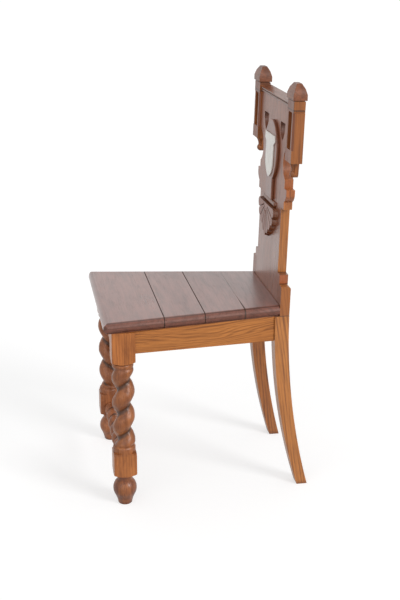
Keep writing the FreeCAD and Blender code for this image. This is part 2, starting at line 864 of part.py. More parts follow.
def make_leaf():
    """Lobed leaf hanging under the roll, bevelled to its face, with a vein to each hollow of its edge."""
    leaf = Part.makeLoft([leaf_ring(1, 0), leaf_ring(1 - leaf_bevel_share, leaf_thickness)], True, True)
    veins = []
    for across, fall in leaf_shares[1:-1:2]:
        reach_across = across * leaf_half_width
        reach_down = fall * leaf_fall
        length = math.hypot(reach_across, reach_down)
        turn = math.degrees(math.atan2(reach_across, reach_down))
        for side in (-1, 1):
            vein = box(-vein_width / 2, vein_width / 2, -leaf_thickness, vein_depth - leaf_thickness,
                       -length, -vein_start_share * length)
            vein.rotate(ORIGIN, ALONG, -side * turn)
            vein.translate(Vector(0, 0, leaf_top))
            veins.append(vein)
    return on_back(cut_from(leaf, veins))


def stub_dowels(spare):
    radius = dowel_radius + spare
    length = dowel_length + 2 * spare
    start = back_leg_outer - back_leg_width - length / 2
    return [Part.makeCylinder(radius, length, Vector(start, plank_thickness / 2, height), ACROSS)
            for height in stub_dowel_heights]


def post_dowels(spare):
    radius = dowel_radius + spare
    length = dowel_length + 2 * spare
    start = post_inner - length / 2
    low = notch_height + notch_radius
    return [Part.makeCylinder(radius, length, Vector(start, plank_thickness / 2, height), ACROSS)
            for height in [low + share * (plank_top - low) for share in post_dowel_shares]]


def upright_dowels(spread, height, spare):
    radius = dowel_radius + spare
    half = dowel_length / 2 + spare
    return [Part.makeCylinder(radius, 2 * half, Vector(across, plank_thickness / 2, height - half))
            for across in (-spread, spread)]


def crest_dowels(spare):
    length = crest_height - 2 * crest_fall
    return [Part.makeCylinder(dowel_radius + spare, dowel_length + 2 * spare,
                              Vector(across, plank_thickness / 2, plank_top + length - dowel_length - spare))
            for across in (-crest_dowel_spread, crest_dowel_spread)]


def rail_dowels(spare):
    return [on_back(dowel) for dowel in upright_dowels(rail_dowel_spread, -seat_thickness, spare)]


def back_dowels(spare):
    """All dowels of the back, in the plank's own frame."""
    sided = stub_dowels(spare) + post_dowels(spare)
    upright = upright_dowels(rail_dowel_spread, -seat_thickness, spare) + crest_dowels(spare)
    return sided + [mirrored(dowel) for dowel in sided] + upright


def cleat_inner(y):
    return rail_x(y) - rail_thickness / 2


def make_side_cleat():
    """Square batten along the inside of the left side rail, under the seat."""
    low = leg_back_y + cleat_front_gap
    high = back_leg_y - cleat_back_gap
    half = cleat_size / 2
    body = Part.makeLoft([section(cleat_inner(y) - half, y, frame_top - cleat_size, frame_top, half)
                          for y in (low, high)], True, True)
    return cut_from(body, seat_screws(fit) + rail_screws(fit))


def make_front_cleat():
    face = front_axis_y - leg_half + rail_setback + rail_thickness
    half = front_cleat_width / 2
    body = box(-half, half, face, face + cleat_size, frame_top - cleat_size, frame_top)
    return cut_from(body, seat_screws(fit))


def make_screw(spare):
    """Slotted countersunk wood screw, head at the origin and point up."""
    head = screw_head_radius + spare
    shank = screw_radius + spare
    body = turned(trace(
        ORIGIN,
        (Vector(head, 0, 0),),
        (Vector(shank, 0, screw_head_height),),
        (Vector(shank, 0, screw_length - screw_point),),
        (Vector(0, 0, screw_length + spare),),
        (ORIGIN,)))
    if spare:
        return body
    slot = box(-head, head, -screw_slot_width / 2, screw_slot_width / 2, -screw_slot_depth, screw_slot_depth)
    return body.cut(slot)


def seat_screw_rows():
    """One pair of screws to a board, in the middle of its run over the cleats."""
    limits = [leg_back_y + cleat_front_gap] + board_joints() + [back_leg_y - cleat_back_gap]
    return [(low + high) / 2 for low, high in zip(limits[:-1], limits[1:])]


def seat_screws(spare):
    """Screws driven up through the cleats into the boards."""
    screws = []
    for y in seat_screw_rows():
        for side in (-1, 1):
            screw = make_screw(spare)
            screw.translate(Vector(side * (cleat_inner(y) - cleat_size / 2), y, frame_top - cleat_size))
            screws.append(screw)
    face = front_axis_y - leg_half + rail_setback + rail_thickness
    for share in front_screw_shares:
        screw = make_screw(spare)
        screw.translate(Vector(share * front_cleat_width, face + cleat_size / 2, frame_top - cleat_size))
        screws.append(screw)
    return screws


def rail_screws(spare):
    """Screws driven sideways through the left cleat into its rail."""
    screws = []
    low = leg_back_y + cleat_front_gap
    high = back_leg_y - cleat_back_gap
    for share in rail_screw_shares:
        y = low + share * (high - low)
        screw = make_screw(spare)
        screw.rotate(ORIGIN, ALONG, 90)
        screw.translate(Vector(cleat_inner(y) - cleat_size, y, frame_top - cleat_size / 2))
        screws.append(screw)
    return screws


def make_pieces():
    """Every sub-part by its name."""
    pieces = {}
    pairs = {"front_leg": make_front_leg(), "back_leg": make_back_leg(),
             "side_rail": cut_from(make_side_rail(), rail_screws(fit)), "side_cleat": make_side_cleat(),
             "post": make_post(), "post_cap": make_cap(), "post_drop": make_drop()}
    for name, shape in pairs.items():
        pieces[name + "_left"] = shape
        pieces[name + "_right"] = mirrored(shape)
    for number, board in enumerate(make_seat_boards(), 1):
        pieces["seat_board_%d" % number] = board
    for number, y in enumerate(board_joints(), 1):
        pieces["seat_tongue_%d" % number] = make_tongue(y, 0)
    pieces["front_rail"] = make_front_rail()
    pieces["back_rail"] = make_back_rail()
    pieces["front_stretcher"] = make_stretcher()
    pieces["front_cleat"] = make_front_cleat()
    pieces["back_plank"] = make_plank()
    pieces["crest_rail"] = make_crest()
    pieces["cartouche"] = make_cartouche()
    pieces["shield"] = make_shield()
    pieces["roll_collar"] = make_roll()
    pieces["leaf_drop"] = make_leaf()
    pieces["back_dowels"] = Part.makeCompound([on_back(dowel) for dowel in back_dowels(0)])
    sided = rail_screws(0)
    screws = seat_screws(0) + sided + [mirrored(screw) for screw in sided]
    pieces["cleat_screws"] = Part.makeCompound(screws)
    return pieces


os.makedirs("parts", exist_ok=True)
for name, shape in make_pieces().items():
    shape.exportStep("parts/" + name + ".step")
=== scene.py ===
import math

import bmesh
import bpy
from mathutils import Matrix, Vector


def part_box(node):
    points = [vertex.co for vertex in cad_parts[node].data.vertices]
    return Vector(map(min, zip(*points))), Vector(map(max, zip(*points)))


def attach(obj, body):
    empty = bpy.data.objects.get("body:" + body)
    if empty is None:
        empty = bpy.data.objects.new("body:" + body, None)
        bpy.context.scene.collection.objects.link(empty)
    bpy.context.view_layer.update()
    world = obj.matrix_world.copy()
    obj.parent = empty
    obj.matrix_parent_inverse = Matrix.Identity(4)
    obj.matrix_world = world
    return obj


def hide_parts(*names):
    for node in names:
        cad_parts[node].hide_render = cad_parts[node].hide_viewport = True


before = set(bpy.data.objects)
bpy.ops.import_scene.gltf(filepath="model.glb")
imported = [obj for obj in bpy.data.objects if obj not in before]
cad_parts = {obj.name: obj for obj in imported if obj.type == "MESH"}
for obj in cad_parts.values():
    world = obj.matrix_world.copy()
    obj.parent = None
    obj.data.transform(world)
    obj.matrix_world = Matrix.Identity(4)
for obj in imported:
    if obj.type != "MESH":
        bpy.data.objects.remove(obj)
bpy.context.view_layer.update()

# An oak hall chair, polished with wax, in a white studio. Metres; +Z is up and the chair faces -Y.
# A range below is the value where it starts, the value where it ends, and what it gives at each, or else
# 0 and 1. A line of wax has a half width, a fade and a strength. A noise has its cells to a metre, along
# the grain and across it, and often its detail and roughness.

# The spirals of the front legs and the stretcher, in the solids' own sizes. Each overlaps the turned ends
# that it stands between by twist_sink.
leg_across = 0.1725
leg_along = -0.198
leg_twist = {"Length": 0.198, "Pitch": 0.060, "Crest Radius": 0.0255, "Groove Radius": 0.0135,
             "End Radius": 0.022, "Fade": 0.013, "Groove Turn": -1.55, "Softness": 0.16}
leg_twist_low = 0.144
leg_tool_marks = 0.0022
stretcher_level = 0.098
stretcher_twist = {"Length": 0.283, "Pitch": 0.042, "Crest Radius": 0.0165, "Groove Radius": 0.0095,
                   "End Radius": 0.012, "Fade": 0.012, "Groove Turn": 0.0, "Softness": 0.16}
stretcher_tool_marks = 0.0016
twist_sink = 0.004
spiral_sides = 72
spiral_rows = 216
tool_mark_noise = ((75.0, 75.0, 75.0), 1.0)

# The side rails run in towards the back with the seat, and carry the cleats.
rail_front = -0.172
rail_front_middle = 0.1835
rail_run = 0.328
rail_run_in = 0.0555
rail_half = 0.011
rail_turn = math.atan(rail_run_in / rail_run)
cleat_size = 0.020
cleat_foot = 0.405

# The screws, and where they stand in the cleats.
screw = {"Head Radius": 0.004, "Head Height": 0.0026, "Shank Radius": 0.002, "Length": 0.034,
         "Point": 0.004, "Slot Width": 0.001, "Slot Depth": 0.0011}
screw_sides = 24
screw_merge_reach = 0.000001
slot_cutter_share = 3.0
seat_screw_rows = (-0.1365, -0.058, 0.036, 0.1135)
front_screws = (-0.095, 0.0, 0.095)
front_screw_row = -0.188
rail_screw_rows = (-0.1056, -0.012, 0.0816)

# The front legs: ranges over height for the turner's stain, its patches, and wax in the groove.
foot_stain = (0.070, 0.078, 0.78, 0.28)
twist_stain = (0.127, 0.131, 0.0, 0.26)
top_block_stain = (0.340, 0.352, 1.0, 0.0)
stain_noise = ((42.0, 42.0, 26.0),)
stain_patches = (0.36, 0.62, 0.70, 1.28)
groove_fill = (0.60, 1.0, 0.0, 0.88)
floor_darkening = (0.002, 0.010, 0.55, 0.0)

# The seat. Each painted shade line on its moulded sides has its depth under the top first.
seat_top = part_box("seat_board_1")[1][2]
rear_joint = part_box("seat_board_4")[0][1]
rear_joint_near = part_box("seat_board_4")[1][0]
front_joints = tuple((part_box(front)[1][1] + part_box(back)[0][1]) / 2 for front, back in (
    ("seat_board_1", "seat_board_2"), ("seat_board_2", "seat_board_3")))
moulding_shade_lines = ((0.0014, 0.0003, 0.0008, 0.75), (0.0115, 0.0004, 0.0012, 0.45),
                (0.0222, 0.0006, 0.0010, 0.75))
front_joint_line = (0.0009, 0.0006, 0.95)
open_joint_width = (rear_joint_near - 0.110, rear_joint_near - 0.010, 0.0, 0.0019)
open_joint_strength = 0.92
rear_joint_reach = 0.0003
under_seat = 0.4

# The back legs' stubs, the plank between them and the posts on it.
stub_foot = 0.4252
stub_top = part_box("back_leg_left")[1][2]
stub_stain = (stub_foot - 0.0006, stub_foot + 0.0006, 0.0, 0.72)
stub_foot_line = (0.0006, 0.0008, 0.8)
# Painted shade lines on the plank's edges, at the stubs' top and at the plank's step.
stub_top_line = (0.0012, 0.0014, 0.85)
plank_foot_top = 0.518
plank_foot_redness = 0.75
plank_step_line = (0.0005, 0.0010, 0.6)
plank_neck_top = 0.665
neck_redness = (plank_neck_top, plank_neck_top + 0.03, 0.0, 0.55)
neck_dullness = (plank_neck_top - 0.085, plank_neck_top, 0.0, 0.25)
# Painted shade on the walls of the plank's piercings above piercing_foot, and more faintly on its cut-outs.
piercing_foot = 0.814
piercing_reach = 0.132
cut_out_foot = 0.738
cut_out_shade_share = 0.4
back_lean = math.radians(1.6)
up_the_plank = (0.0, math.sin(back_lean), math.cos(back_lean))
post_low, post_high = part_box("post_left")
post_front = post_low[1]
post_inner = post_low[0]
post_top_level = Vector(up_the_plank).dot(Vector((0.0, post_front, post_high[2])))
scribe_level = post_top_level - 0.0215
scribed_wax = (0.0008, 0.0010, 0.85)
# Painted shade in the posts' slots, deeper behind the post's front.
slot_shade_depth = (post_front + 0.002, post_front + 0.006, 0.0, 0.6)
# Painted shade under a post's cap: its rise along the plank and its reach from the post's inner side.
cap_shade_rise = (post_top_level - 0.014, post_top_level - 0.006, 0.0, 0.75)
cap_shade_across = (post_inner + 0.0005, post_inner + 0.003, 1.0, 0.0)
leaf_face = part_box("leaf_drop")[0][1]
vein_wax = (leaf_face + 0.0015, leaf_face + 0.0080, 0.0, 0.7)

# How far a worn edge is rounded, piece by piece. Edges under flat_degrees are dissolved, those over
# sharp_degrees are worn, and those over crease_degrees are shaded as creases.
worn_widths = {
    "side_rail_left": 0.0012, "side_rail_right": 0.0012, "back_leg_left": 0.0012, "back_leg_right": 0.0012,
    "front_rail": 0.0012, "back_rail": 0.0012, "back_plank": 0.0010, "crest_rail": 0.0008,
    "post_left": 0.0010, "post_right": 0.0010, "cartouche": 0.0024, "leaf_drop": 0.0008,
    "seat_board_1": 0.0008, "seat_board_2": 0.0008, "seat_board_3": 0.0008, "seat_board_4": 0.0008,
    "roll_collar": 0.0, "post_cap_left": 0.0024, "post_cap_right": 0.0024,
    "post_drop_left": 0.0, "post_drop_right": 0.0}
shield_worn_width = 0.0006
leg_worn_width = 0.0010
stretcher_worn_width = 0.0006
merge_reach = 0.000002
flat_degrees = 0.2
sharp_degrees = 32
crease_degrees = 48

# The pieces inside, which keep the solid's own shape.
hidden_pieces = ("seat_tongue_1", "seat_tongue_2", "seat_tongue_3", "side_cleat_left", "side_cleat_right",
                 "front_cleat", "back_dowels")

# Oak tones, each a pale and a deep one.
amber = ((0.50, 0.185, 0.040), (0.38, 0.125, 0.024))
bright = ((0.56, 0.216, 0.052), (0.40, 0.140, 0.029))
# Shaded, for the far back leg, is a darker copy of bright: painted shade.
shaded = ((0.46, 0.165, 0.038), (0.34, 0.110, 0.022))
post_tones = ((0.38, 0.126, 0.027), (0.25, 0.074, 0.016))
honey = ((0.54, 0.190, 0.046), (0.40, 0.127, 0.031))
brown = ((0.27, 0.084, 0.030), (0.17, 0.052, 0.020))
umber = ((0.23, 0.072, 0.027), (0.14, 0.044, 0.018))
carved = ((0.25, 0.078, 0.026), (0.13, 0.038, 0.013))
# Dusky is darker than honey: on the far front leg partly more wax and partly painted shade; the stretcher
# shares it.
dusky = ((0.40, 0.142, 0.054), (0.29, 0.095, 0.037))
mauve = ((0.26, 0.090, 0.062), (0.19, 0.064, 0.046))
unstained = ((0.52, 0.33, 0.18), (0.40, 0.23, 0.12))

# Stains and waxes on the oak. Dark wood and the black wax also paint shade in corners, slots and piercings.
walnut = (0.265, 0.086, 0.046)
oval_walnut = (0.225, 0.070, 0.038)
leaf_walnut = (0.290, 0.088, 0.045)
black_wax_and_shade = (0.045, 0.017, 0.008)
dark_wood = (0.09, 0.028, 0.013)
russet = (0.19, 0.063, 0.033)
stub_brown = (0.27, 0.079, 0.013)
edge_brown = (0.150, 0.048, 0.026)
foot_red = (0.36, 0.080, 0.022)

# Cream paint and steel.
fresh_cream = (0.90, 0.88, 0.83, 1)
aged_cream = (0.72, 0.69, 0.63, 1)
craze_brown = (0.34, 0.27, 0.20, 1)
paint_noise = ((60.0, 60.0, 60.0), 4.0)
paint_ageing = (0.35, 0.75, 0.0, 0.6)
paint_roughness = (0.3, 0.7, 0.30, 0.45)
craze_noise = ((700.0, 700.0, 160.0), 2.0)
craze_lines = (0.62, 0.70, 0.0, 0.4)
clean_steel = (0.52, 0.51, 0.50, 1)
dull_steel = (0.26, 0.23, 0.21, 1)
steel_noise = ((300.0, 300.0, 300.0),)
steel_roughness = (0.3, 0.7, 0.3, 0.5)

# The oak's figure: the turn that lays the grain along an axis, its noises, the ranges over them, what a
# row of pores and a pore keep of the tone they lie on, and strengths.
grain_turns = {"x": (0, 0, 0), "y": (0, 0, -math.pi / 2), "z": (0, math.pi / 2, 0)}
figure_noises = {
    "Bend": ((3.2, 9.0, 9.0), 2.0), "Ripple": ((2.5, 85.0, 85.0), 2.0),
    "Fibre": ((6.0, 330.0, 330.0), 2.0, 0.6), "Streaks": ((26.0, 900.0, 900.0), 2.0, 0.6),
    "Drift": ((2.0, 11.0, 11.0), 3.0), "Flecks": ((55.0, 420.0, 60.0), 1.0),
    "Clouds": ((16.0, 60.0, 60.0), 3.0), "Weight": ((1.5, 110.0, 110.0), 1.0)}
figure_shows = {"Drift": (0.34, 0.68), "Rings": (0.3, 1.0), "Clouds": (0.45, 0.70), "Fibre": (0.42, 0.66)}
row_start = (0.12, 0.48, 1.0, 0.0)
row_end = (0.88, 1.0)
row_breaks = (0.35, 0.60, 0.55, 1.0)
row_weights = (0.36, 0.60, 0.15, 1.0)
pore_streaks = (0.53, 0.66)
pores_on_row = (0.0, 0.6, 0.25, 1.0)
ray_flecks = (0.60, 0.72)
row_depth = (0.36, 0.29, 0.22)
pore_depth = (0.45, 0.40, 0.36)
ripple_years = 1.5
deep_drift = 0.85
deep_rings = 0.25
fleck_strength = 0.18
pore_strength = 0.65
pore_roughness = 0.12
pore_bump = {"Strength": 0.22, "Distance": 0.0004}
corner_wax_and_shade = 0.8
rubbed_gain = 1.25
rubbed_noise = ((45.0, 45.0, 45.0),)
rubbed_patches = (0.38, 0.62, 0.05, 0.55)
gloss_drift = (0.3, 0.7)
smoother = 0.04
rougher = 0.06
dull_roughness = 0.25
wax_gone = 0.8

# Ranges over a surface's normal: its part along Y on the back's broad faces, on the walls of piercings and
# on what faces forward in a slot, its part along X on the seat's sides, and along Z on their moulding.
broad_turn = (0.45, 0.75, 0.0, 0.9)
wall_turn = (0.45, 0.75, 0.95, 0.0)
slot_turn = (-0.9, -0.5, 1.0, 0.0)
side_turn = (0.05, 0.25)
moulded_turn = (0.60, 0.97, 0.8, 0.0)

# The studio, and the camera with its lens and sensor in millimetres. A lamp has a name, a strength, a
# spread in degrees and the way to it.
floor_reach = 40.0
floor_tone = 0.48
floor_glow = 0.60
sky_light = 0.58
lamps = (("Key lamp", 1.75, 22, (0.66, 0.60, 0.44)), ("Fill lamp", 0.85, 60, (0.80, -0.50, 0.30)))
camera_place = (2.4263, -0.4251, 1.2492)
camera_turn_degrees = 79.909
camera_tilt_degrees = 71.53
camera_roll_degrees = 0.274
camera_lens = 65.5
camera_sensor = 36.0


def add_node(tree, kind, inputs=(), **settings):
    """A node with its settings, and its inputs by name: a value, or the socket that feeds it."""
    node = tree.nodes.new(kind)
    for name, value in settings.items():
        setattr(node, name, value)
    for name, value in dict(inputs).items():
        socket = node.inputs[name]
        if isinstance(value, bpy.types.NodeSocket):
            tree.links.new(value, socket)
        else:
            socket.default_value = value
    return node


def maths(tree, operation, first, second=0.0):
    """What an operation makes of one or two values."""
    return add_node(tree, "ShaderNodeMath", {0: first, 1: second}, operation=operation).outputs[0]


def product(tree, first, second):
    """Two values multiplied."""
    return maths(tree, "MULTIPLY", first, second)


def strongest(tree, *shares):
    """The largest of several shares."""
    largest = shares[0]
    for share in shares[1:]:
        largest = maths(tree, "MAXIMUM", largest, share)
    return largest


def ranged(tree, value, low, high, to_low=0.0, to_high=1.0, smooth=False):
    """What a range gives for a value."""
    kind = "SMOOTHSTEP" if smooth else "LINEAR"
    return add_node(tree, "ShaderNodeMapRange", {"Value": value, "From Min": low, "From Max": high,
                    "To Min": to_low, "To Max": to_high}, interpolation_type=kind).outputs[0]


def near_line(tree, value, line, half_width, fade, depth):
    """Depth on a line's half width, fading to 0."""
    off = maths(tree, "ABSOLUTE", maths(tree, "SUBTRACT", value, line))
    return ranged(tree, off, half_width, half_width + fade, depth, 0.0)


def noise(tree, vector, cells, detail=3.0, roughness=0.55):
    """Noise with so many cells to a metre, along the grain, across it and across it."""
    drawn = add_node(tree, "ShaderNodeVectorMath", {0: vector, 1: cells}, operation="MULTIPLY")
    return add_node(tree, "ShaderNodeTexNoise", {"Vector": drawn.outputs[0], "Scale": 1.0,
                    "Detail": detail, "Roughness": roughness}).outputs[0]


def blended(tree, share, first, second, blend_type="MIX"):
    """Two colours mixed, with the second one's share."""
    mix = tree.nodes.new("ShaderNodeMix")
    mix.data_type = "RGBA"
    mix.blend_type = blend_type
    for index, value in ((0, share), (6, first), (7, second)):
        if isinstance(value, bpy.types.NodeSocket):
            tree.links.new(value, mix.inputs[index])
        else:
            mix.inputs[index].default_value = value
    return mix.outputs[2]


def split(tree, vector):
    """A vector's X, Y and Z."""
    return add_node(tree, "ShaderNodeSeparateXYZ", {0: vector}).outputs


def facing(tree):
    """The X, Y and Z of the surface's normal."""
    return split(tree, add_node(tree, "ShaderNodeNewGeometry").outputs["Normal"])


def level_on_plank(tree, place):
    """Height along the leaning plank."""
    rise = add_node(tree, "ShaderNodeVectorMath", {0: place, 1: up_the_plank}, operation="DOT_PRODUCT")
    return rise.outputs["Value"]


def sized_tree(name, sizes, vectors=()):
    """An empty Geometry Nodes tree whose inputs are a mesh, named sizes and vectors, and the finish."""
    tree = bpy.data.node_groups.new(name, "GeometryNodeTree")
    tree.interface.new_socket("Geometry", in_out="OUTPUT", socket_type="NodeSocketGeometry")
    tree.interface.new_socket("Geometry", in_out="INPUT", socket_type="NodeSocketGeometry")
    for size in sizes:
        tree.interface.new_socket(size, in_out="INPUT", socket_type="NodeSocketFloat")
    for vector in vectors:
        tree.interface.new_socket(vector, in_out="INPUT", socket_type="NodeSocketVector")
    tree.interface.new_socket("Finish", in_out="INPUT", socket_type="NodeSocketMaterial")
    return tree, tree.nodes.new("NodeGroupInput").outputs


def finish_tree(tree, geometry, finish):
    """The tree's last nodes: every copy made real, and the finish on it."""
    real = add_node(tree, "GeometryNodeRealizeInstances", {"Geometry": geometry}).outputs[0]
    done = add_node(tree, "GeometryNodeSetMaterial", {"Geometry": real, "Material": finish}).outputs[0]
    tree.links.new(done, tree.nodes.new("NodeGroupOutput").inputs["Geometry"])
    return tree


def make_spiral_tree():
    """One round strand wound on +Z with a narrow groove, fading into a plain rod at both ends.

    Hand is 1 for a right-hand spiral and -1 for a left-hand one, and Tool Marks is how uneven the carving
    is. The rod is joined to the mesh that comes in, and its points carry hollow, which is 1 at the bottom
    of the groove.
    """
    tree, sizes = sized_tree("Spiral turning", list(leg_twist) + ["Hand", "Tool Marks"], ("Place", "Turn"))
    length = sizes["Length"]
    soft = sizes["Softness"]
    rod = add_node(tree, "GeometryNodeMeshCylinder", {"Vertices": spiral_sides, "Side Segments": spiral_rows,
                   "Radius": sizes["Crest Radius"], "Depth": length}, fill_type="NGON")
    place = add_node(tree, "GeometryNodeInputPosition").outputs[0]
    parts = split(tree, place)
    angle = maths(tree, "ARCTAN2", parts[1], parts[0])
    height = maths(tree, "ADD", parts[2], product(tree, length, 0.5))
    to_end = maths(tree, "MINIMUM", height, maths(tree, "SUBTRACT", length, height))
    swell = ranged(tree, maths(tree, "DIVIDE", to_end, sizes["Fade"]), 0.0, 1.0, smooth=True)
    turns = maths(tree, "ADD", sizes["Groove Turn"], maths(tree, "DIVIDE", height, sizes["Pitch"]))
    half_angle = product(tree, product(tree, angle, sizes["Hand"]), 0.5)
    half_phase = maths(tree, "SUBTRACT", half_angle, product(tree, turns, math.pi))
    other_hand = maths(tree, "SUBTRACT", 1.0, sizes["Hand"])
    half_phase = maths(tree, "ADD", half_phase, product(tree, other_hand, math.pi / 4))
    wave = maths(tree, "SINE", half_phase)
    soft_square = product(tree, soft, soft)
    ridge = maths(tree, "SQRT", maths(tree, "ADD", product(tree, wave, wave), soft_square))
    ridge = maths(tree, "SUBTRACT", ridge, soft)
    ridge_top = maths(tree, "SUBTRACT", maths(tree, "SQRT", maths(tree, "ADD", soft_square, 1.0)), soft)
    arch = maths(tree, "DIVIDE", ridge, ridge_top)
    hollow = product(tree, swell, maths(tree, "SUBTRACT", 1.0, arch))
    growth = maths(tree, "SUBTRACT", sizes["Crest Radius"], sizes["End Radius"])
    crest = maths(tree, "ADD", sizes["End Radius"], product(tree, growth, swell))
    depth = maths(tree, "SUBTRACT", sizes["Crest Radius"], sizes["Groove Radius"])
    radius = maths(tree, "SUBTRACT", crest, product(tree, depth, hollow))
    marks = maths(tree, "SUBTRACT", noise(tree, place, *tool_mark_noise), 0.5)
    marks = product(tree, product(tree, marks, sizes["Tool Marks"]), swell)
    radius = maths(tree, "ADD", radius, marks)
    wound = add_node(tree, "ShaderNodeCombineXYZ", {
        0: product(tree, radius, maths(tree, "COSINE", angle)),
        1: product(tree, radius, maths(tree, "SINE", angle)),
        2: parts[2]}).outputs[0]
    marked = add_node(tree, "GeometryNodeStoreNamedAttribute", {
        "Geometry": rod.outputs["Mesh"], "Name": "hollow", "Value": hollow},
        data_type="FLOAT", domain="POINT").outputs[0]
    shaped = add_node(tree, "GeometryNodeSetPosition", {"Geometry": marked, "Position": wound}).outputs[0]
    smooth = add_node(tree, "GeometryNodeSetShadeSmooth", {"Geometry": shaped}).outputs[0]
    placed = add_node(tree, "GeometryNodeTransform", {"Geometry": smooth, "Translation": sizes["Place"],
                      "Rotation": sizes["Turn"]}).outputs[0]
    whole = tree.nodes.new("GeometryNodeJoinGeometry")
    tree.links.new(placed, whole.inputs[0])
    tree.links.new(sizes["Geometry"], whole.inputs[0])
    return finish_tree(tree, whole.outputs[0], sizes["Finish"])


def make_screw_tree():
    """A slotted countersunk wood screw at each point, driven along the point's drive attribute.

    Its skin is one closed shell: three open cones and the face of the head, merged, and then the slot.
    """
    tree, sizes = sized_tree("Cleat screws", screw)
    sides = {"Vertices": screw_sides}
    head_radius = sizes["Head Radius"]
    shank_radius = sizes["Shank Radius"]
    point_start = maths(tree, "SUBTRACT", sizes["Length"], sizes["Point"])
    shank = maths(tree, "SUBTRACT", point_start, sizes["Head Height"])
    stages = (
        (head_radius, shank_radius, sizes["Head Height"], 0.0),
        (shank_radius, shank_radius, shank, sizes["Head Height"]),
        (shank_radius, 0.0, sizes["Point"], point_start))
    skin = tree.nodes.new("GeometryNodeJoinGeometry")
    for low_radius, high_radius, depth, lift in stages:
        stage = add_node(tree, "GeometryNodeMeshCone", sides | {
            "Radius Bottom": low_radius, "Radius Top": high_radius, "Depth": depth}, fill_type="NONE")
        rise = add_node(tree, "ShaderNodeCombineXYZ", {2: lift}).outputs[0]
        raised = add_node(tree, "GeometryNodeTransform", {
            "Geometry": stage.outputs["Mesh"], "Translation": rise})
        tree.links.new(raised.outputs[0], skin.inputs[0])
    face = add_node(tree, "GeometryNodeMeshCircle", sides | {"Radius": head_radius}, fill_type="NGON")
    outward = add_node(tree, "GeometryNodeFlipFaces", {"Mesh": face.outputs["Mesh"]})
    tree.links.new(outward.outputs[0], skin.inputs[0])
    closed = add_node(tree, "GeometryNodeMergeByDistance", {
        "Geometry": skin.outputs[0], "Distance": screw_merge_reach})
    slot_size = add_node(tree, "ShaderNodeCombineXYZ", {
        0: product(tree, head_radius, slot_cutter_share), 1: sizes["Slot Width"],
        2: product(tree, sizes["Slot Depth"], 2.0)}).outputs[0]
    slot = add_node(tree, "GeometryNodeMeshCube", {"Size": slot_size}).outputs["Mesh"]
    whole = add_node(tree, "GeometryNodeMeshBoolean", {"Mesh 1": closed.outputs[0], "Mesh 2": slot},
                     operation="DIFFERENCE")
    drive = add_node(tree, "GeometryNodeInputNamedAttribute", {"Name": "drive"}, data_type="FLOAT_VECTOR")
    turn = add_node(tree, "FunctionNodeAlignRotationToVector", {"Vector": drive.outputs[0]}, axis="Z")
    driven = add_node(tree, "GeometryNodeInstanceOnPoints", {
        "Points": sizes["Geometry"], "Instance": whole.outputs["Mesh"], "Rotation": turn.outputs[0]})
    return finish_tree(tree, driven.outputs[0], sizes["Finish"])


def grown_mesh(tree, mesh, values):
    """The plain mesh that a tree makes of a mesh, with its sizes set by name."""
    seed = bpy.data.objects.new(mesh.name, mesh)
    bpy.context.scene.collection.objects.link(seed)
    growth = seed.modifiers.new("Growth", "NODES")
    growth.node_group = tree
    for item in tree.interface.items_tree:
        if item.item_type == "SOCKET" and item.in_out == "INPUT" and item.name in values:
            growth[item.identifier] = values[item.name]
    depsgraph = bpy.context.evaluated_depsgraph_get()
    result = bpy.data.meshes.new_from_object(seed.evaluated_get(depsgraph), preserve_all_data_layers=True,
                                             depsgraph=depsgraph)
    bpy.data.objects.remove(seed)
    return result


def make_grain_group():
    """Oak figure in a frame whose X runs along the grain, with the pith on that axis.

    Rings goes from 0 to 1 across each year's growth, Band is the dark row of open pores where a year
    begins, Fibre is fine streaks, Pores are short dashes, Drift is a slow change of tone, Flecks are
    pale rays and Clouds are patches a finger wide.
    """
    group = bpy.data.node_groups.new("Oak grain", "ShaderNodeTree")
    for name, kind in (("Vector", "NodeSocketVector"), ("Spacing", "NodeSocketFloat"),
                       ("Wander", "NodeSocketFloat")):
        group.interface.new_socket(name, in_out="INPUT", socket_type=kind)
    results = ("Rings", "Band", "Fibre", "Pores", "Drift", "Flecks", "Clouds")
    for name in results:
        group.interface.new_socket(name, in_out="OUTPUT", socket_type="NodeSocketFloat")
    start = group.nodes.new("NodeGroupInput").outputs
    end = group.nodes.new("NodeGroupOutput")
    vector = start["Vector"]

    def grain_noise(name):
        """One of the figure's noises."""
        return noise(group, vector, *figure_noises[name])

    parts = split(group, vector)
    squares = maths(group, "ADD", product(group, parts[1], parts[1]), product(group, parts[2], parts[2]))
    radius = maths(group, "SQRT", squares)
    bend = maths(group, "SUBTRACT", grain_noise("Bend"), 0.5)
    ripple = maths(group, "SUBTRACT", grain_noise("Ripple"), 0.5)
    year = maths(group, "ADD", radius, product(group, bend, start["Wander"]))
    year = maths(group, "DIVIDE", year, start["Spacing"])
    year = maths(group, "ADD", year, product(group, ripple, ripple_years))
    rings = maths(group, "FRACT", year)
    band = strongest(group, ranged(group, rings, *row_start), ranged(group, rings, *row_end))
    fibre = grain_noise("Fibre")
    streaks = grain_noise("Streaks")
    broken = ranged(group, fibre, *row_breaks)
    pores = product(group, ranged(group, streaks, *pore_streaks), ranged(group, band, *pores_on_row))
    drift = grain_noise("Drift")
    flecks = ranged(group, grain_noise("Flecks"), *ray_flecks)
    clouds = grain_noise("Clouds")
    weight = ranged(group, grain_noise("Weight"), *row_weights)
    row = product(group, product(group, band, broken), weight)
    for name, socket in zip(results, (rings, row, fibre, pores, drift, flecks, clouds)):
        group.links.new(socket, end.inputs[name])
    return group


def new_finish(name):
    """An empty material: itself, its tree, its shader and the piece's coordinates."""
    material = bpy.data.materials.new(name)
    material.use_nodes = True
    tree = material.node_tree
    place = add_node(tree, "ShaderNodeTexCoord").outputs["Object"]
    return material, tree, tree.nodes["Principled BSDF"], place


